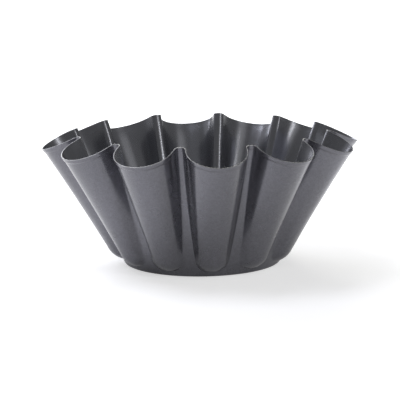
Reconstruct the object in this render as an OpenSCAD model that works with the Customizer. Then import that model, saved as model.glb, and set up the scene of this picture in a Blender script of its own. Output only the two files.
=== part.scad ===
// Fluted brioche mould: one steel sheet pressed into a flared cup with an open top.
// Wide rounded flutes bulge out of a cone, narrow ridges are left between them, and
// the rim is the edge of the flat sheet, so it stands higher at the ridges.
// Every size is that of the outer face. The sheet's thickness lies inside it.
// Origin: centre of the underside of the base, +Z up, with the crest of a flute on +X.

/* [Sheet] */
// Thickness of the steel sheet
sheet_t = 0.6; // [0.4:0.1:1]

/* [Flutes at the rim] */
// Number of flutes round the mould
flute_count = 12; // [10:1:12]
// Radius to the crest of a flute at the rim
rim_r = 110; // [104:1:114]
// Height of the rim at the crest of a flute
rim_z = 82.2; // [74:0.2:90]
// How far the rim bows up between the crest of a flute and a ridge
rim_bow = 0.6; // [0:0.1:1.5]
// Width across a flute at the rim
flute_w = 38.4; // [32:0.2:38.8]
// Depth of a flute's oval section there for each millimetre of its width
flute_oval = 1.08; // [1:0.01:1.2]

/* [Feet of the flutes] */
// Height at which the rounded foot of a flute begins
foot_z = 12.2; // [11:0.1:14]
// How far the rounded foot reaches down from there
foot_h = 8.8; // [6.5:0.1:9]
// Width across a flute where its foot begins
foot_w = 20.4; // [17:0.2:21.4]
// Depth of a flute's oval section there for each millimetre of its width
foot_oval = 0.81; // [0.75:0.01:1]
// Radius to the middle of a flute's section where its foot begins
foot_r = 58.2; // [56:0.1:59.5]

/* [Ridges] */
// Radius to the face of a ridge at the rim
ridge_r = 88; // [85:0.5:90]
// Height of the rim at a ridge
ridge_z = 92.8; // [90:0.2:100]
// Radius of the bend on each side of a ridge, at the rim
ridge_bend = 3; // [2:0.1:3.6]
// Width of the face of a ridge between its two bends, at the rim
ridge_face = 0.3; // [0.2:0.1:1.5]
// Radius of the same bend at the feet of the flutes
foot_bend = 2.2; // [1.5:0.1:3]
// Width of the face of a ridge at the feet of the flutes
foot_face = 5.4; // [4.6:0.2:6.2]

/* [Lip] */
// Height of the lip, the last stretch of the wall below the rim
lip_h = 2.6; // [2:0.1:4]
// How far the lip stands out from the wall under it
lip_out = 0.4; // [0.2:0.1:0.6]

/* [Base] */
// Radius at which the cone of the wall meets the level of the base
base_r = 54.4; // [53:0.2:55.4]
// Radius of the rounded edge between the base and the wall
base_bend = 2.5; // [1.5:0.1:3]

/* [Hidden] */

// Steps from the crest of a flute to the middle of the next ridge
crest_steps = 5;
flank_steps = 1;
bend_steps = 4;
face_steps = 1;
half_steps = crest_steps + flank_steps + bend_steps + face_steps;
pitch_steps = 2 * half_steps;
ring_steps = flute_count * pitch_steps;

// Steps up the wall: the rounded edge of the base, the feet, the wall above them
edge_steps = 2;
foot_steps = 4;
wall_steps = 2;

half_pitch = 180 / flute_count;
cone_slope = (ridge_r - base_r) / ridge_z;
cone_lean = atan(cone_slope);

// The rounded edge of the base: height where it meets the cone, radius of the flat base
edge_top_z = base_bend * (1 - sin(cone_lean));
flat_r = base_r + cone_slope * edge_top_z - base_bend * cos(cone_lean);

// Height that the slanting step under the lip takes
lip_rise = 1.5 * lip_out;

function mix(a, b, t) = a + (b - a) * t;
function polar(r, a) = [r * cos(a), r * sin(a)];
function unit(v) = v / norm(v);
function heading(p) = atan2(p[1], p[0]);
function lift(line, z) = [for (p = line) [p[0], p[1], z]];

// Share of the way up the part of a flute above its foot, below 0 in the foot
function wall_share(z) = (z - foot_z) / (rim_z - foot_z);

// Radius of the cone that the ridges and the base band lie on
function cone_r(z) =
    z < edge_top_z
        ? flat_r + sqrt(pow(base_bend, 2) - pow(base_bend - z, 2))
        : base_r + cone_slope * z;

// Radius to the middle of a flute's oval section, its half width and its half depth
function oval_r(z) = mix(foot_r, rim_r - flute_oval * flute_w / 2, wall_share(z));
function oval_b(z) =
    z < foot_z
        ? foot_w / 2 * sqrt(max(0, 1 - pow((foot_z - z) / foot_h, 2)))
        : mix(foot_w, flute_w, wall_share(z)) / 2;
function oval_ratio(z) = mix(foot_oval, flute_oval, max(0, wall_share(z)));
function oval_a(z) = oval_ratio(z) * oval_b(z);

// Point of the oval at angle t, and its unit normal
function oval_at(z, t) = [oval_r(z) + oval_a(z) * cos(t), oval_b(z) * sin(t)];
function oval_normal(z, t) = unit([cos(t), oval_ratio(z) * sin(t)]);

// Angle on the oval where a bend of radius s touches it that also touches the cone, and
// the heading of that bend's centre
function bend_start(z, s, low = 0, high = 170, turns = 30) =
    let (t = (low + high) / 2)
    turns == 0
        ? t
        : norm(oval_at(z, t) + s * oval_normal(z, t)) > cone_r(z) + s
            ? bend_start(z, s, t, high, turns - 1)
            : bend_start(z, s, low, t, turns - 1);
function bend_heading(z, s) =
    let (t = bend_start(z, s))
    heading(oval_at(z, t) + s * oval_normal(z, t));

// Heading of the side of a ridge's face that is w wide
function face_heading(z, w) = half_pitch - atan(w / 2 / cone_r(z));

// Width of the face of a ridge above the feet: it narrows fast at first and then slowly
function face_w(z) = mix(foot_face, ridge_face, 1 - pow(1 - min(1, wall_share(z)), 2));

// Radius of the bend beside a ridge, drawn in where the ridge has no room for more
function bend_r(z, s) =
    bend_heading(z, s) > face_heading(z, ridge_face) ? bend_r(z, 0.9 * s) : s;
function bend_at(z) = bend_r(z, mix(foot_bend, ridge_bend, max(0, wall_share(z))));

// Heading of the bend's centre. Where the face is narrow, the bend stands off the oval,
// and a straight flank joins the two. In the foot this dies away downwards.
function drawn_heading(z, s) = max(bend_heading(z, s), face_heading(z, face_w(z)));
foot_draw = drawn_heading(foot_z, foot_bend) - bend_heading(foot_z, foot_bend);
function centre_heading(z, s) =
    z < foot_z
        ? bend_heading(z, s) + foot_draw * oval_b(z) / oval_b(foot_z)
        : drawn_heading(z, s);

// Angle of the point of the oval that is nearest to point c outside it
function nearest(z, c, low = 0, high = 180, turns = 30) =
    let (t = (low + high) / 2)
    turns == 0
        ? t
        : (c - oval_at(z, t)) * [-oval_a(z) * sin(t), oval_b(z) * cos(t)] > 0
            ? nearest(z, c, t, high, turns - 1)
            : nearest(z, c, low, t, turns - 1);

// Angle on the oval where the straight flank leaves it for a bend of radius s round point c
function flank_start(z, s, c, low, high, turns = 30) =
    let (t = (low + high) / 2)
    turns == 0
        ? t
        : (c - oval_at(z, t)) * oval_normal(z, t) < s
            ? flank_start(z, s, c, t, high, turns - 1)
            : flank_start(z, s, c, low, t, turns - 1);

// A level of the wall: [height, bend radius, bend's centre, angle where the flank leaves the oval]
function level(z) =
    let (s = bend_at(z), c = polar(cone_r(z) + s, centre_heading(z, s)))
    [z, s, c, flank_start(z, s, c, 0, nearest(z, c))];

// Outline of a level from the crest of a flute to the middle of the ridge beside it
function outline(v) =
    let (
        z = v[0],
        s = v[1],
        centre = v[2],
        t_end = v[3],
        leave = oval_at(z, t_end),
        across_flank = heading(oval_normal(z, t_end)),
        meet = centre - polar(s, across_flank),
        inwards = heading(centre)
    )
    [
        for (i = [0:crest_steps]) oval_at(z, t_end * i / crest_steps),
        for (i = [1:flank_steps]) mix(leave, meet, i / flank_steps),
        for (i = [1:bend_steps]) centre - polar(s, mix(across_flank, inwards, i / bend_steps)),
        for (i = [1:face_steps]) polar(cone_r(z), mix(inwards, half_pitch, i / face_steps))
    ];

// Distance from the axis to the outline of a level, seen along heading a
function reach(v, a) =
    let (
        z = v[0],
        s = v[1],
        centre = v[2],
        leave = oval_at(z, v[3]),
        normal = oval_normal(z, v[3]),
        along = centre * polar(1, a),
        aside = norm(centre) * sin(heading(centre) - a)
    )
    oval_r(z) + oval_a(z) <= cone_r(z) || a >= heading(centre)
        ? cone_r(z)
        : a >= heading(centre - s * normal)
            ? along - sqrt(max(0, pow(s, 2) - pow(aside, 2)))
            : a >= heading(leave)
                ? leave * normal / (polar(1, a) * normal)
                : oval_reach(oval_r(z), oval_a(z), oval_b(z), a);
function oval_reach(c, a, b, h) =
    let (
        k2 = pow(b * cos(h), 2) + pow(a * sin(h), 2),
        k1 = b * b * c * cos(h),
        k0 = b * b * (c * c - a * a)
    )
    (k1 + sqrt(max(0, k1 * k1 - k2 * k0))) / k2;

// Height of the rim at radius r
function rim_height(r) =
    let (k = (rim_r - r) / (rim_r - ridge_r))
    mix(rim_z, ridge_z, k) + 4 * rim_bow * k * (1 - k);

// Point i of the rim: the height and the outline depend on each other, so they settle in turns
function rim_point(i, z = rim_z, turns = 8) =
    let (p = outline(level(z))[i])
    turns == 0 ? [p[0], p[1], z] : rim_point(i, rim_height(norm(p)), turns - 1);

foot_line = outline(level(foot_z));
rim_line = [for (i = [0:half_steps]) rim_point(i)];

// Rows of the wall from the feet up to the stretch that ends at the rim
wall_rows = [
    for (k = [0:wall_steps - 1]) [
        for (i = [0:half_steps])
            let (z = mix(foot_z, rim_line[i][2], k / wall_steps), p = outline(level(z))[i])
            [p[0], p[1], z]
    ]
];

// Neighbours of a point in a row of half a pitch, past its ends the mirror images
function mirrored(p, a) =
    let (c = cos(2 * a), s = sin(2 * a))
    [c * p[0] + s * p[1], s * p[0] - c * p[1], p[2]];
function neighbour(row, i) =
    i < 0 ? mirrored(row[1], 0)
          : i > half_steps ? mirrored(row[half_steps - 1], half_pitch) : row[i];
function across(row, i) = neighbour(row, i + 1) - neighbour(row, i - 1);

// The wall at the rim: its direction up, its outward normal, a point below the rim
function wall_up(i) = unit(rim_line[i] - wall_rows[wall_steps - 1][i]);
function wall_normal(i) = unit(cross(across(rim_line, i), wall_up(i)));
function below_rim(i, d) = rim_line[i] - d * wall_up(i);

lip_low = [for (i = [0:half_steps]) below_rim(i, lip_h)];
lip_foot = [
    for (i = [0:half_steps]) below_rim(i, lip_h + lip_rise) - lip_out * wall_normal(i)
];

// Height at which the foot of a flute leaves the cone, seen along heading a
foot_low_z = foot_z - foot_h;
crease_top_z = mix(foot_low_z, foot_z, 0.6);
function crease_height(a, low = foot_low_z, high = foot_z, turns = 20) =
    let (z = (low + high) / 2)
    turns == 0
        ? min(z, crease_top_z)
        : reach(level(z), a) > cone_r(z) + 0.001
            ? crease_height(a, low, z, turns - 1)
            : crease_height(a, z, high, turns - 1);
crease_z = [for (p = foot_line) crease_height(heading(p))];

// Row of the foot at a share of the way up from the crease to the wall above it
function foot_row(share) = [
    for (i = [0:half_steps])
        let (
            a = heading(foot_line[i]),
            z = mix(crease_z[i], foot_z, share),
            q = polar(reach(level(z), a), a)
        )
        [q[0], q[1], z]
];

// Heights of the rows in the rounded edge of the base
edge_rows = [
    for (i = [0:edge_steps])
        base_bend * (1 + sin(mix(-90, -cone_lean, i / edge_steps)))
];

// Outer face of half a pitch, row by row from the flat of the base to the rim
outer_half = [
    for (z = edge_rows) lift([for (p = foot_line) polar(cone_r(z), heading(p))], z),
    for (i = [0:foot_steps - 1]) foot_row(1 - cos(90 * i / foot_steps)),
    each wall_rows,
    lip_foot,
    lip_low,
    rim_line
];
rows = len(outer_half);

// Outward normal at a point of the half pitch, from the points around it
function normal_at(j, i) =
    let (up = outer_half[min(j + 1, rows - 1)][i] - outer_half[max(j - 1, 0)][i])
    unit(cross(across(outer_half[j], i), up));
inner_half = [
    for (j = [0:rows - 1]) [
        for (i = [0:half_steps])
            outer_half[j][i] - sheet_t * (j == 0 ? [0, 0, -1] : normal_at(j, i))
    ]
];

// A whole ring of one row, all the way round
function turned(p, a) = [p[0] * cos(a) - p[1] * sin(a), p[0] * sin(a) + p[1] * cos(a), p[2]];
function ring(row) = [
    for (k = [0:flute_count - 1]) each [
        for (i = [0:half_steps]) turned(row[i], 2 * k * half_pitch),
        for (i = [half_steps - 1:-1:1])
            turned([row[i][0], -row[i][1], row[i][2]], 2 * (k + 1) * half_pitch)
    ]
];

// Two triangles between point i and the next one of rings a and b, the diagonal mirrored
// from one half of a pitch to the other, and the same on both faces of the sheet
function strip(a, b) = [
    for (i = [0:ring_steps - 1])
        let (
            next = (i + 1) % ring_steps,
            rising = (i % pitch_steps < half_steps) == (a < rows),
            q = [a * ring_steps + i, a * ring_steps + next, b * ring_steps + next, b * ring_steps + i]
        )
        each rising
            ? [[q[0], q[2], q[1]], [q[0], q[3], q[2]]]
            : [[q[0], q[3], q[1]], [q[1], q[3], q[2]]]
];

// The pressed sheet: outer face up to the rim, over its edge, and the inner face down again
module mould_shell() {
    points = [
        for (row = outer_half) each ring(row),
        for (j = [rows - 1:-1:0]) each ring(inner_half[j])
    ];
    underside = [for (i = [0:ring_steps - 1]) i];
    floor_face = [for (i = [ring_steps - 1:-1:0]) (2 * rows - 1) * ring_steps + i];
    faces = [
        underside,
        for (j = [0:2 * rows - 2]) each strip(j, j + 1),
        floor_face
    ];
    color("dimgray") polyhedron(points, faces);
}

mould_shell();
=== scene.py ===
import functools
import math

import bmesh
import bpy
import numpy as np
from mathutils import Matrix, Vector


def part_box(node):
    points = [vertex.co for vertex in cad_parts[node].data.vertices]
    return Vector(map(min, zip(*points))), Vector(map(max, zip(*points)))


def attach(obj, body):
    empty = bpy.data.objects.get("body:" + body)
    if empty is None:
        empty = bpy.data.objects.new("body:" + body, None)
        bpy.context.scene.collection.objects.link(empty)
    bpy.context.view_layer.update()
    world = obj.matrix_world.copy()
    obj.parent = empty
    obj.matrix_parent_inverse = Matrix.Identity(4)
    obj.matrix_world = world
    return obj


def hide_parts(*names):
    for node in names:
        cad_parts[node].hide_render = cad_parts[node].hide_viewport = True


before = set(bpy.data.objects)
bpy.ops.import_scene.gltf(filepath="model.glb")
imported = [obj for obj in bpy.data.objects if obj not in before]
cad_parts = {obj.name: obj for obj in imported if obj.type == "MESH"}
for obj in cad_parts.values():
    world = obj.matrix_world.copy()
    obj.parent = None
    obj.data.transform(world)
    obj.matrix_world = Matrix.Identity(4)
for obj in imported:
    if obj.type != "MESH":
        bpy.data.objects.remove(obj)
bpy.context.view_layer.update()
shell_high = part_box("mould_shell")[1]

MM = 0.001

# Sizes of the outer face of the sheet
SHEET_T = 0.6 * MM
FLUTES = 12
RIM_R = shell_high.x
RIM_Z = 82.2 * MM
RIM_BOW = 0.6 * MM
FLUTE_W = 38.4 * MM
FLUTE_OVAL = 1.08
FOOT_Z = 12.2 * MM
FOOT_H = 8.8 * MM
FOOT_W = 20.4 * MM
FOOT_OVAL = 0.81
FOOT_R = 58.2 * MM
RIDGE_R = 88 * MM
RIDGE_Z = 92.8 * MM
RIDGE_BEND = 3 * MM
RIDGE_FACE = 0.3 * MM
FOOT_BEND = 2.2 * MM
FOOT_FACE = 5.4 * MM
BASE_R = 54.4 * MM
BASE_BEND = 2.5 * MM

# The lip: the last stretch of the wall stands a little proud of the rest, with a step
# under it on the outer face and a long slope on the inner one
LIP_H = 2.6 * MM
LIP_STEP = 0.7 * MM
LIP_OUT = 0.4 * MM
LIP_SLOPE = 9 * MM

# The cut edge of the sheet: how high its rounding is, and how full: 1 is half an oval, and
# less is squarer
CUT_ROUND = 0.25 * SHEET_T
CUT_FULLNESS = 0.6

# Steps of the mesh from the crest of a flute to the middle of a ridge, and up the wall
CREST_STEPS, FLANK_STEPS, BEND_STEPS, FACE_STEPS = 14, 5, 12, 3
HALF_STEPS = CREST_STEPS + FLANK_STEPS + BEND_STEPS + FACE_STEPS
BASE_STEPS, EDGE_STEPS, BAND_STEPS, FOOT_STEPS, WALL_STEPS, LIP_STEPS = 5, 7, 8, 26, 20, 14
CUT_STEPS = 6

# The rows of the lip lie closer together, from the rim down to this far below it
LIP_BAND = 1.6 * LIP_H

# The crease round a foot is softened over some rows below and above it. It rises at most to
# this share of the foot's height.
CREASE_PASSES = 3
CREASE_BELOW, CREASE_ABOVE = 4, 7
CREASE_TOP = 0.6

# A value is found by this many halvings, and the rim settles in this many passes
HALVINGS = 36
RIM_PASSES = 8

# The bend touches the oval before this angle, and gets smaller by this factor until a ridge's
# face has room. A point this close to the cone lies on it.
TOUCH_LIMIT = math.radians(170)
BEND_SHRINK = 0.9
ON_CONE = 0.001 * MM

HALF_PITCH = math.pi / FLUTES
CONE_SLOPE = (RIDGE_R - BASE_R) / RIDGE_Z
CONE_LEAN = math.atan(CONE_SLOPE)
EDGE_TOP_Z = BASE_BEND * (1 - math.sin(CONE_LEAN))
FLAT_R = BASE_R + CONE_SLOPE * EDGE_TOP_Z - BASE_BEND * math.cos(CONE_LEAN)

# Patterns of the finishes, as noise scales per metre, and how much each one counts
GRAIN_SCALE, MOTTLE_SCALE, CLOUD_SCALE = 1300.0, 420.0, 30.0
GRAIN_SHARE, MOTTLE_SHARE, CLOUD_SHARE = 0.55, 0.30, 0.15
PATCH_SCALE, SCRATCH_SCALE = 180.0, 2500.0
GRAIN_ROUGHNESS = 0.6
SCRATCH_DEPTH, SCRATCH_STRENGTH = 0.01 * MM, 0.6

# The part of a noise's range that is spread over a finish, for the blend and for one noise
BLEND_SPAN = (0.34, 0.66)
NOISE_SPAN = (0.3, 0.7)

# Finish of the two coatings and of the cut edge
COATING_METALLIC = 0.75
CLEAR_ROUGHNESS = 0.15
GLOSS_SPREAD = 0.03
EDGE_ROUGHNESS = 0.34
EDGE_DARK, EDGE_LIGHT = 0.19, 0.26

# The floor
FLOOR_HALF = 12.0
FLOOR_CELLS = 8
FLOOR_GAP = 0.1 * MM
FLOOR_GREY = 0.8

# The floor's glow, each as two distances from the mould's axis and the level at each: what the
# camera sees near the mould, what is added for it further out, and what the mould mirrors
NEAR_GLOW = (0.05, 0.5, 0.58, 0.64)
FAR_GLOW = (0.5, 3.0, 0.0, 0.6)
# What the mould mirrors is darker close to its axis: painted shade round the base, which its lower
# walls reflect
MIRROR_GLOW_WITH_PAINTED_SHADE = (0.055, 0.11, 0.13, 0.43)

# Brightness of the room for the camera, in mirrors and as light
ROOM_TO_CAMERA, ROOM_IN_MIRRORS, ROOM_LIGHT = 1.0, 0.26, 0.08
LAMP_DISTANCE = 2.0

# The photograph's camera: distance from the axis, height, turn, tilt down and roll, and its
# focal length and the column of the mould's axis in pixels of the square photograph
CAMERA_DISTANCE = 1.1855
CAMERA_HEIGHT = 0.2536
CAMERA_TURN = math.radians(-6.375)
CAMERA_TILT = 0.1759
CAMERA_ROLL = 0.0135
CAMERA_HEADING = -math.pi / 2 + CAMERA_TURN
IMAGE_SIZE = 400
FOCAL_PIXELS = 1724.95
AXIS_PIXEL = 201.63
SENSOR_MM = 36.0
CLIP_NEAR, CLIP_FAR = 0.05, 60.0

# Numbers of the colour sockets of Blender's mix node
MIX_A, MIX_B, MIX_RESULT = 6, 7, 2


def mix(a, b, t):
    return a + (b - a) * t


def polar(r, a):
    return r * math.cos(a), r * math.sin(a)


def heading(p):
    return math.atan2(p[1], p[0])


def smooth_step(t):
    t = np.clip(t, 0, 1)
    return t * t * (3 - 2 * t)


def bisect(low, high, too_low):
    """The value between low and high from which too_low is no longer true."""
    for _ in range(HALVINGS):
        middle = (low + high) / 2
        if too_low(middle):
            low = middle
        else:
            high = middle
    return low


def wall_share(z):
    return (z - FOOT_Z) / (RIM_Z - FOOT_Z)


def cone_r(z):
    """Radius of the cone that the ridges and the base band lie on."""
    if z < EDGE_TOP_Z:
        return FLAT_R + math.sqrt(max(0, BASE_BEND**2 - (BASE_BEND - z) ** 2))
    return BASE_R + CONE_SLOPE * z


def oval(z):
    """A flute's section at height z: radius to its middle, half width and depth to width."""
    middle = mix(FOOT_R, RIM_R - FLUTE_OVAL * FLUTE_W / 2, wall_share(z))
    half_width = mix(FOOT_W, FLUTE_W, wall_share(z)) / 2
    if z < FOOT_Z:
        half_width = FOOT_W / 2 * math.sqrt(max(0, 1 - ((FOOT_Z - z) / FOOT_H) ** 2))
    return middle, half_width, mix(FOOT_OVAL, FLUTE_OVAL, max(0, wall_share(z)))


def face_w(z):
    """Width of the face of a ridge: above the feet it narrows fast at first, then slowly."""
    return mix(RIDGE_FACE, FOOT_FACE, (1 - min(1, wall_share(z))) ** 2)


class Level:
    """A horizontal section of the outer face, from a flute's crest to the middle of a ridge."""

    def __init__(self, z):
        self.cone = cone_r(z)
        self.middle, self.half_width, self.ratio = oval(z)
        self.half_depth = self.ratio * self.half_width
        self.bend = mix(FOOT_BEND, RIDGE_BEND, max(0, wall_share(z)))
        touching = self.touching_heading()
        while touching > self.face_heading(RIDGE_FACE):
            self.bend *= BEND_SHRINK
            touching = self.touching_heading()
        # The bend's centre swings on from there, as far as the ridge's face leaves it room
        if z < FOOT_Z:
            self.swing = foot_level().swing * self.half_width / foot_level().half_width
        else:
            self.swing = max(0, self.face_heading(face_w(z)) - touching)
        self.centre = polar(self.cone + self.bend, touching + self.swing)
        # The straight flank leaves the oval at one point and meets the bend at the other
        self.leave_t = self.flank_start()
        self.leave = self.oval_at(self.leave_t)
        self.normal = self.oval_normal(self.leave_t)
        self.meet = (
            self.centre[0] - self.bend * self.normal[0],
            self.centre[1] - self.bend * self.normal[1],
        )

    def oval_at(self, t):
        return self.middle + self.half_depth * math.cos(t), self.half_width * math.sin(t)

    def oval_tangent(self, t):
        return -self.half_depth * math.sin(t), self.half_width * math.cos(t)

    def oval_normal(self, t):
        x, y = math.cos(t), self.ratio * math.sin(t)
        return x / math.hypot(x, y), y / math.hypot(x, y)

    def face_heading(self, width):
        return HALF_PITCH - math.atan(width / 2 / self.cone)

    def touching_heading(self):
        """Heading of the bend's centre where the bend touches both the oval and the cone."""

        def bend_centre(t):
            p, n = self.oval_at(t), self.oval_normal(t)
            return p[0] + self.bend * n[0], p[1] + self.bend * n[1]

        t = bisect(0, TOUCH_LIMIT, lambda t: math.hypot(*bend_centre(t)) > self.cone + self.bend)
        return heading(bend_centre(t))

    def flank_start(self):
        """Angle on the oval where the straight flank to the bend leaves it."""

        def towards(t, direction):
            p = self.oval_at(t)
            x, y = self.centre[0] - p[0], self.centre[1] - p[1]
            return x * direction[0] + y * direction[1]

        nearest = bisect(0, math.pi, lambda t: towards(t, self.oval_tangent(t)) > 0)
        return bisect(0, nearest, lambda t: towards(t, self.oval_normal(t)) < self.bend)

    def outline(self):
        """The section's points from the crest: oval, straight flank, bend and face."""
        across_flank, inwards = heading(self.normal), heading(self.centre)
        points = [self.oval_at(self.leave_t * i / CREST_STEPS) for i in range(CREST_STEPS + 1)]
        for i in range(1, FLANK_STEPS + 1):
            share = i / FLANK_STEPS
            points.append([mix(p, q, share) for p, q in zip(self.leave, self.meet)])
        for i in range(1, BEND_STEPS + 1):
            x, y = polar(self.bend, mix(across_flank, inwards, i / BEND_STEPS))
            points.append((self.centre[0] - x, self.centre[1] - y))
        for i in range(1, FACE_STEPS + 1):
            points.append(polar(self.cone, mix(inwards, HALF_PITCH, i / FACE_STEPS)))
        return points

    def reach(self, a):
        """Distance from the axis to the section, seen along heading a."""
        inwards = heading(self.centre)
        x, y = polar(1, a)
        if self.middle + self.half_depth <= self.cone or a >= inwards:
            return self.cone
        if a >= heading(self.meet):
            aside = math.hypot(*self.centre) * math.sin(inwards - a)
            along = self.centre[0] * x + self.centre[1] * y
            return along - math.sqrt(max(0, self.bend**2 - aside**2))
        if a >= heading(self.leave):
            off = self.leave[0] * self.normal[0] + self.leave[1] * self.normal[1]
            return off / (x * self.normal[0] + y * self.normal[1])
        # The ray meets the oval where k2 r^2 - 2 k1 r + k0 = 0
        k2 = (self.half_width * x) ** 2 + (self.half_depth * y) ** 2
        k1 = self.half_width**2 * self.middle * x
        k0 = self.half_width**2 * (self.middle**2 - self.half_depth**2)
        return (k1 + math.sqrt(max(0, k1 * k1 - k2 * k0))) / k2


@functools.cache
def foot_level():
    return Level(FOOT_Z)


def rim_height(r):
    """Height of the rim by its distance from the axis: it rises inwards in a slight bow."""
    k = (RIM_R - r) / (RIM_R - RIDGE_R)
    return mix(RIM_Z, RIDGE_Z, k) + 4 * RIM_BOW * k * (1 - k)


def crease_height(a):
    """Height at which the foot of a flute leaves the cone, seen along heading a."""

    def on_cone(z):
        level = Level(z)
        return level.reach(a) <= level.cone + ON_CONE

    bottom = FOOT_Z - FOOT_H
    return min(bisect(bottom, FOOT_Z, on_cone), mix(bottom, FOOT_Z, CREASE_TOP))


def rim_line():
    """The rim's points: the height and the section depend on each other, so they settle."""
    points = []
    for i in range(HALF_STEPS + 1):
        z = RIM_Z
        for _ in range(RIM_PASSES):
            p = Level(z).outline()[i]
            z = rim_height(math.hypot(*p))
        points.append([p[0], p[1], z])
    return np.array(points)


def lifted(points, z):
    return np.array([[p[0], p[1], z] for p in points])


def fanned_row(headings, heights):
    """A row whose points each have their own height, on the foot or on the cone under it."""
    row = []
    for a, z in zip(headings, heights):
        p = polar(Level(z).reach(a), a)
        row.append([p[0], p[1], z])
    return np.array(row)


def wall_row(rim, share):
    """A row of the wall at a share of the way up from the feet to the rim."""
    row = []
    for i, z in enumerate(mix(FOOT_Z, rim[:, 2], share)):
        row.append([*Level(z).outline()[i], z])
    return np.array(row)


def outer_rows():
    """Rows of half a pitch of the outer face, from the middle of the base to the rim."""
    foot_line = foot_level().outline()
    headings = [heading(p) for p in foot_line]
    crease = np.array([crease_height(a) for a in headings])
    rows = []
    for k in range(1, BASE_STEPS):
        rows.append(lifted([polar(FLAT_R * k / BASE_STEPS, a) for a in headings], 0))
    for k in range(EDGE_STEPS):
        z = BASE_BEND * (1 + math.sin(mix(-math.pi / 2, -CONE_LEAN, k / EDGE_STEPS)))
        rows.append(lifted([polar(cone_r(z), a) for a in headings], z))
    for k in range(BAND_STEPS):
        share = math.sin(math.pi / 2 * k / BAND_STEPS)
        rows.append(fanned_row(headings, mix(EDGE_TOP_Z, crease, share)))
    crease_row = len(rows)
    for k in range(FOOT_STEPS):
        share = 1 - math.cos(math.pi / 2 * k / FOOT_STEPS)
        rows.append(fanned_row(headings, mix(crease, FOOT_Z, share)))
    rim = rim_line()
    wall_end = 1 - LIP_BAND / (RIM_Z - FOOT_Z)
    for k in range(WALL_STEPS):
        rows.append(wall_row(rim, wall_end * k / WALL_STEPS))
    for k in range(LIP_STEPS + 1):
        rows.append(wall_row(rim, mix(wall_end, 1, k / LIP_STEPS)))
    grid = np.array(rows)
    ease_crease(grid[crease_row - CREASE_BELOW : crease_row + CREASE_ABOVE])
    return grid


def ease_crease(rows):
    """Softens the crease round the foot of a flute by averaging along the columns."""
    for _ in range(CREASE_PASSES):
        rows[1:-1] = (rows[:-2] + 2 * rows[1:-1] + rows[2:]) / 4


def mirrored(p, a):
    """A point's mirror image in the upright plane along heading a."""
    c, s = math.cos(2 * a), math.sin(2 * a)
    return np.array([c * p[0] + s * p[1], s * p[0] - c * p[1], p[2]])


def normals_of(grid):
    """Outward unit normals of a half-pitch grid, from its neighbours and their mirror images."""
    last = len(grid) - 1
    out = np.zeros_like(grid)
    for j in range(last + 1):
        up = grid[min(j + 1, last)] - grid[max(j - 1, 0)]
        before = np.vstack([mirrored(grid[j][1], 0), grid[j][:-1]])
        after = np.vstack([grid[j][1:], mirrored(grid[j][-2], HALF_PITCH)])
        n = np.cross(after - before, up)
        out[j] = n / np.linalg.norm(n, axis=1, keepdims=True)
    return out


def with_lip(grid, normals, start, length):
    """Draws the wall in under the lip, by a share that fades out towards the foot."""
    rim = grid[-1]
    below = np.linalg.norm(rim - grid, axis=2)
    above_foot = np.clip((grid[:, :, 2] - FOOT_Z) / (rim[:, 2] - FOOT_Z), 0, 1)
    under_lip = smooth_step((below - start) / length)
    return grid - normals * (LIP_OUT * under_lip * above_foot)[:, :, None]


def cut_edge(outer, inner, up):
    """Rows over the cut edge of the sheet, slightly rounded, between its two faces."""
    rows = []
    for k in range(1, CUT_STEPS):
        a = math.pi * k / CUT_STEPS
        across = (1 - math.copysign(abs(math.cos(a)) ** CUT_FULLNESS, math.cos(a))) / 2
        rise = CUT_ROUND * (math.sin(a) ** CUT_FULLNESS)
        rows.append(mix(outer, inner, across) + up * (rise - CUT_ROUND))
    return rows


def half_pitch_rows():
    """All rows of half a pitch: outer face, cut edge and inner face, with the faces' parts."""
    plain = outer_rows()
    normals = normals_of(plain)
    normals[: BASE_STEPS - 1] = (0, 0, -1)
    outer = with_lip(plain, normals, LIP_H, LIP_STEP)
    inner = with_lip(plain, normals, 0, LIP_SLOPE) - SHEET_T * normals
    up = outer[-1] - outer[-2]
    up /= np.linalg.norm(up, axis=1, keepdims=True)
    edge = cut_edge(outer[-1], inner[-1], up)
    outer[-1] -= up * CUT_ROUND
    inner[-1] -= up * CUT_ROUND
    rows = [*outer, *edge, *inner[::-1]]
    parts = ["outer"] * (len(outer) - 1) + ["edge"] * (len(edge) + 1) + ["inner"] * (len(inner) - 1)
    return rows, parts


def turned(points, a):
    c, s = math.cos(a), math.sin(a)
    x, y = points[:, 0] * c - points[:, 1] * s, points[:, 0] * s + points[:, 1] * c
    return np.column_stack([x, y, points[:, 2]])


def full_ring(row):
    """A row all the way round: each pitch is the half row and its mirror image."""
    row = np.asarray(row)
    back = (row * [1, -1, 1])[HALF_STEPS - 1 : 0 : -1]
    parts = []
    for k in range(FLUTES):
        parts.append(turned(row, 2 * k * HALF_PITCH))
        parts.append(turned(back, 2 * (k + 1) * HALF_PITCH))
    return np.vstack(parts)


def add_face(bm, corners, slot):
    face = bm.faces.new(corners)
    face.material_index = slot
    face.smooth = True


def build_shell(materials):
    """The pressed sheet as one closed mesh, with a material for each of its three surfaces."""
    rows, parts = half_pitch_rows()
    bm = bmesh.new()
    rings = [[bm.verts.new(p) for p in full_ring(row)] for row in rows]
    slots = list(materials)
    count = len(rings[0])
    for j, part in enumerate(parts):
        for i in range(count):
            n = (i + 1) % count
            corners = (rings[j][i], rings[j][n], rings[j + 1][n], rings[j + 1][i])
            add_face(bm, corners, slots.index(part))
    for ring, z, part in ((rings[0], 0, "outer"), (rings[-1], SHEET_T, "inner")):
        hub = bm.verts.new((0, 0, z))
        for i in range(count):
            n = (i + 1) % count
            corners = (hub, ring[n], ring[i]) if part == "outer" else (hub, ring[i], ring[n])
            add_face(bm, corners, slots.index(part))
    mesh = bpy.data.meshes.new("fluted_shell")
    bm.to_mesh(mesh)
    bm.free()
    shell = bpy.data.objects.new("fluted_shell", mesh)
    bpy.context.scene.collection.objects.link(shell)
    for name in slots:
        mesh.materials.append(materials[name])
    return shell


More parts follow.
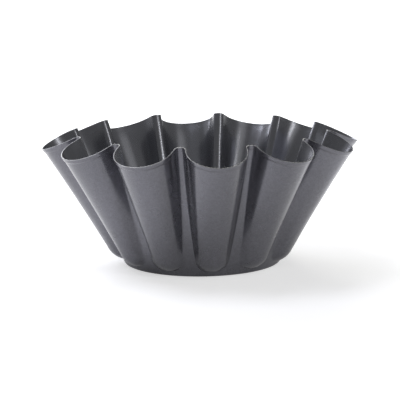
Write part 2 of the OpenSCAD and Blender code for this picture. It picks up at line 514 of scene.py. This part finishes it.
class Nodes:
    """A short way to add nodes to a material or world and to link them."""

    def __init__(self, owner):
        owner.use_nodes = True
        self.tree = owner.node_tree
        self.tree.nodes.clear()

    def add(self, kind, inputs=None, **settings):
        node = self.tree.nodes.new(kind)
        for key, value in settings.items():
            setattr(node, key, value)
        for key, value in (inputs or {}).items():
            if isinstance(value, bpy.types.NodeSocket):
                self.tree.links.new(value, node.inputs[key])
            else:
                node.inputs[key].default_value = value
        return node

    def noise(self, position, scale, detail=2.0, roughness=0.5):
        inputs = {"Vector": position, "Scale": scale, "Detail": detail, "Roughness": roughness}
        return self.add("ShaderNodeTexNoise", inputs).outputs["Fac"]

    def remap(self, value, low, high, to_low, to_high):
        inputs = {"Value": value, "From Min": low, "From Max": high}
        inputs.update({"To Min": to_low, "To Max": to_high})
        return self.add("ShaderNodeMapRange", inputs).outputs["Result"]

    def math(self, operation, a, b):
        return self.add("ShaderNodeMath", {0: a, 1: b}, operation=operation).outputs[0]

    def blend_colour(self, share, a, b):
        inputs = {"Factor": share, MIX_A: a, MIX_B: b}
        return self.add("ShaderNodeMix", inputs, data_type="RGBA").outputs[MIX_RESULT]


def grey(value, tint=(1.0, 1.0, 1.0)):
    return (value * tint[0], value * tint[1], value * tint[2], 1.0)


def coating(name, dark, light, roughness, clear, grain_depth, tint):
    """A baked-on non-stick coating: mottled colour, fine grain, uneven gloss and a clear top."""
    material = bpy.data.materials.new(name)
    nodes = Nodes(material)
    position = nodes.add("ShaderNodeTexCoord").outputs["Object"]
    grain = nodes.noise(position, GRAIN_SCALE, roughness=GRAIN_ROUGHNESS)
    mottle = nodes.noise(position, MOTTLE_SCALE)
    cloud = nodes.noise(position, CLOUD_SCALE)
    share = nodes.math("MULTIPLY", grain, GRAIN_SHARE)
    share = nodes.math("ADD", share, nodes.math("MULTIPLY", mottle, MOTTLE_SHARE))
    share = nodes.math("ADD", share, nodes.math("MULTIPLY", cloud, CLOUD_SHARE))
    share = nodes.remap(share, *BLEND_SPAN, 0.0, 1.0)
    colour = nodes.blend_colour(share, grey(dark, tint), grey(light, tint))
    gloss = nodes.remap(cloud, *NOISE_SPAN, roughness - GLOSS_SPREAD, roughness + GLOSS_SPREAD)
    bump = nodes.add("ShaderNodeBump", {"Height": grain, "Distance": grain_depth, "Strength": 1.0})
    inputs = {"Base Color": colour, "Roughness": gloss, "Metallic": COATING_METALLIC}
    inputs["Coat Weight"] = clear
    inputs["Coat Roughness"] = CLEAR_ROUGHNESS
    inputs["Normal"] = bump.outputs["Normal"]
    shader = nodes.add("ShaderNodeBsdfPrincipled", inputs)
    nodes.add("ShaderNodeOutputMaterial", {"Surface": shader.outputs[0]})
    return material


def cut_steel():
    """The bare cut edge of the sheet: bright steel with coating left on it in places."""
    material = bpy.data.materials.new("cut_steel_edge")
    nodes = Nodes(material)
    position = nodes.add("ShaderNodeTexCoord").outputs["Object"]
    patches = nodes.noise(position, PATCH_SCALE, detail=3.0, roughness=GRAIN_ROUGHNESS)
    share = nodes.remap(patches, *NOISE_SPAN, 0.0, 1.0)
    colour = nodes.blend_colour(share, grey(EDGE_DARK), grey(EDGE_LIGHT))
    scratches = nodes.noise(position, SCRATCH_SCALE)
    bump_inputs = {"Height": scratches, "Distance": SCRATCH_DEPTH, "Strength": SCRATCH_STRENGTH}
    bump = nodes.add("ShaderNodeBump", bump_inputs)
    inputs = {"Base Color": colour, "Metallic": 1.0, "Roughness": EDGE_ROUGHNESS}
    inputs["Normal"] = bump.outputs["Normal"]
    shader = nodes.add("ShaderNodeBsdfPrincipled", inputs)
    nodes.add("ShaderNodeOutputMaterial", {"Surface": shader.outputs[0]})
    return material


def seen_directly(nodes, to_camera, in_mirrors):
    """A level for camera rays, one for glossy and transmission rays, and 0 for all others."""
    path = nodes.add("ShaderNodeLightPath").outputs
    mirror_ray = nodes.math("MAXIMUM", path["Is Glossy Ray"], path["Is Transmission Ray"])
    mirror_level = nodes.math("MULTIPLY", mirror_ray, in_mirrors)
    camera_level = nodes.math("MULTIPLY", path["Is Camera Ray"], to_camera)
    return nodes.math("MAXIMUM", camera_level, mirror_level)


def make_floor():
    """A plain pale floor that shows white and keeps the shadow of the mould."""
    mesh = bpy.data.meshes.new("studio_floor")
    bm = bmesh.new()
    bmesh.ops.create_grid(bm, x_segments=FLOOR_CELLS, y_segments=FLOOR_CELLS, size=FLOOR_HALF)
    bm.to_mesh(mesh)
    bm.free()
    floor = bpy.data.objects.new("studio_floor", mesh)
    bpy.context.scene.collection.objects.link(floor)
    material = bpy.data.materials.new("pale_floor")
    nodes = Nodes(material)
    plain = nodes.add("ShaderNodeBsdfDiffuse", {"Color": grey(FLOOR_GREY)})
    position = nodes.add("ShaderNodeTexCoord").outputs["Object"]
    distance = nodes.add("ShaderNodeVectorMath", {0: position}, operation="LENGTH").outputs["Value"]
    near_glow, far_glow = nodes.remap(distance, *NEAR_GLOW), nodes.remap(distance, *FAR_GLOW)
    to_camera = nodes.math("ADD", near_glow, far_glow)
    # The mirrored glow drops near the mould: a painted shadow round its base, seen only in its
    # reflections
    lift = seen_directly(nodes, to_camera, nodes.remap(distance, *MIRROR_GLOW_WITH_PAINTED_SHADE))
    glow = nodes.add("ShaderNodeEmission", {"Color": grey(1.0), "Strength": lift})
    both = nodes.add("ShaderNodeAddShader", {0: plain.outputs[0], 1: glow.outputs[0]})
    nodes.add("ShaderNodeOutputMaterial", {"Surface": both.outputs[0]})
    mesh.materials.append(material)
    floor.location.z = -FLOOR_GAP


def make_world():
    """A studio room: white to the camera, grey in the mould's reflections, and little light."""
    world = bpy.data.worlds.new("studio")
    bpy.context.scene.world = world
    nodes = Nodes(world)
    seen = seen_directly(nodes, ROOM_TO_CAMERA, ROOM_IN_MIRRORS)
    level = nodes.math("MAXIMUM", seen, ROOM_LIGHT)
    background = nodes.add("ShaderNodeBackground", {"Color": grey(1.0), "Strength": level})
    nodes.add("ShaderNodeOutputWorld", {"Surface": background.outputs[0]})


def softbox(name, azimuth_deg, elevation_deg, width, height, watts, colour):
    """An area lamp aimed at the mould. Azimuth 0 is behind the camera, 90 to its right."""
    a, e = math.radians(azimuth_deg), math.radians(elevation_deg)
    ahead = CAMERA_HEADING + a
    back = Vector((math.cos(ahead) * math.cos(e), math.sin(ahead) * math.cos(e), math.sin(e)))
    data = bpy.data.lights.new(name, "AREA")
    data.shape = "RECTANGLE"
    data.size, data.size_y = width, height
    data.energy = watts
    data.color = colour
    lamp = bpy.data.objects.new(name, data)
    lamp.location = back * LAMP_DISTANCE + Vector((0, 0, RIM_Z / 2))
    lamp.rotation_mode = "QUATERNION"
    lamp.rotation_quaternion = back.to_track_quat("Z", "Y")
    lamp.visible_camera = False
    bpy.context.scene.collection.objects.link(lamp)


def make_camera():
    """A pinhole camera at the photograph's place, aimed by its measured tilt and roll."""
    data = bpy.data.cameras.new("photo_camera")
    data.sensor_width = SENSOR_MM
    data.lens = SENSOR_MM * FOCAL_PIXELS / IMAGE_SIZE
    data.clip_start, data.clip_end = CLIP_NEAR, CLIP_FAR
    camera = bpy.data.objects.new("photo_camera", data)
    bpy.context.scene.collection.objects.link(camera)
    away = Vector((math.cos(CAMERA_HEADING), math.sin(CAMERA_HEADING), 0))
    yaw = math.atan((AXIS_PIXEL - IMAGE_SIZE / 2) / FOCAL_PIXELS)
    ahead = Matrix.Rotation(yaw, 3, "Z") @ -away
    forward = ahead * math.cos(CAMERA_TILT) - Vector((0, 0, math.sin(CAMERA_TILT)))
    level_right = forward.cross(Vector((0, 0, 1))).normalized()
    level_up = level_right.cross(forward)
    c, s = math.cos(CAMERA_ROLL), math.sin(CAMERA_ROLL)
    right = level_right * c - level_up * s
    up = level_right * s + level_up * c
    rotation = Matrix((right, up, -forward)).transposed()
    place = Matrix.Translation(away * CAMERA_DISTANCE + Vector((0, 0, CAMERA_HEIGHT)))
    camera.matrix_world = place @ rotation.to_4x4()
    bpy.context.scene.camera = camera


make_camera()

materials = {
    "outer": coating(
        "outer_coating",
        dark=0.157,
        light=0.215,
        roughness=0.28,
        clear=0.7,
        grain_depth=0.008 * MM,
        tint=(0.965, 0.96, 1.085),
    ),
    "inner": coating(
        "inner_coating",
        dark=0.187,
        light=0.213,
        roughness=0.26,
        clear=0.0,
        grain_depth=0.001 * MM,
        tint=(0.962, 0.978, 1.06),
    ),
    "edge": cut_steel(),
}
shell = build_shell(materials)
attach(shell, "root")
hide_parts("mould_shell")

make_floor()
make_world()

# Azimuth and elevation in degrees, width and height in metres, power in watts, and colour
softbox("back_softbox", 180, 29, 0.6, 1.15, 13.4, (1.02, 1.02, 0.96))
softbox("back_left_softbox", 214, 26, 1.15, 1.2, 16.5, (0.965, 0.975, 1.06))
softbox("left_softbox", 245, 28, 0.9, 1.6, 1.5, (0.965, 0.975, 1.06))
softbox("top_left_softbox", 250, 64, 1.0, 0.9, 13.8, (0.96, 0.975, 1.065))
softbox("top_softbox", 300, 76, 1.0, 1.0, 1.6, (0.94, 0.97, 1.09))
softbox("right_strip", 47, 26, 0.3, 0.9, 4.5, (1.0, 1.0, 1.0))
softbox("right_softbox", 45, 43, 1.3, 1.2, 2.8, (1.0, 1.0, 1.0))

bpy.context.scene.view_settings.view_transform = "Standard"
